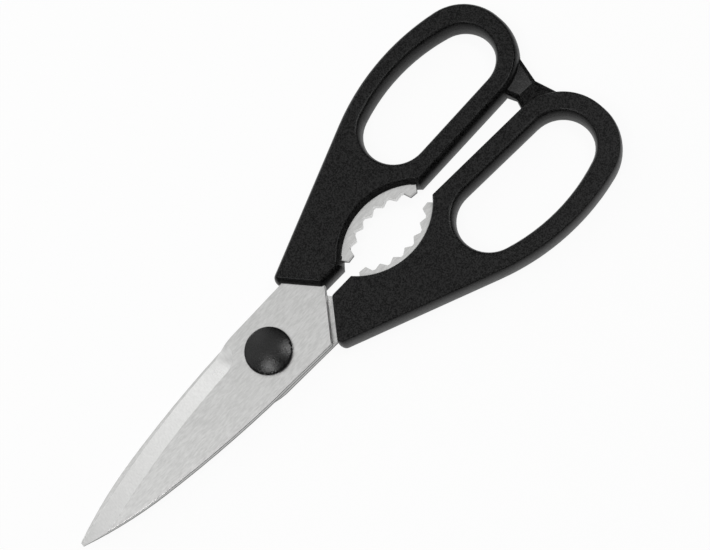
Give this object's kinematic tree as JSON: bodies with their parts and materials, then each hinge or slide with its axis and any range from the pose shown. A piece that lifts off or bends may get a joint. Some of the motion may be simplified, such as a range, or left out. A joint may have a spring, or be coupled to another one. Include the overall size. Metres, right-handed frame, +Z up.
{
  "type": "kitchen shears",
  "caption": "Kitchen shears with two bevelled steel blades on a capped pivot, black moulded finger-loop handles and a toothed nutcracker jaw between the handles.",
  "frame": {"origin": "centre of the bounding box's underside, where the closed shears rest flat on their handles", "axes": "+Y from the blade tips towards the finger loops, +Z up through the thickness from the rear blade to the front blade, +X towards the rear half's finger loop"},
  "size_m": [0.0829, 0.2093, 0.0108],
  "materials": {
    "blade_steel": "fine ground stainless steel, satin",
    "handle_plastic": "black moulded plastic with a fine eroded grain",
    "fastener_steel": "turned stainless steel",
    "cap_plastic": "black moulded plastic, finely textured"
  },
  "bodies": {
    "rear_half": {"rear_blade": "blade_steel", "rear_handle": "handle_plastic", "pivot_screw": "fastener_steel", "bearing_washer": "fastener_steel", "spring_washer": "fastener_steel", "pivot_nut": "fastener_steel", "front_pivot_cap": "cap_plastic", "rear_pivot_cap": "cap_plastic"},
    "front_half": {"front_blade": "blade_steel", "front_handle": "handle_plastic"}
  },
  "joints": [
    {"name": "pivot", "type": "hinge", "parent": "rear_half", "child": "front_half", "pos_m": [0, -0.02173, 0.0054], "axis": [0, 0, 1], "range_deg": [0, 107]}
  ]
}
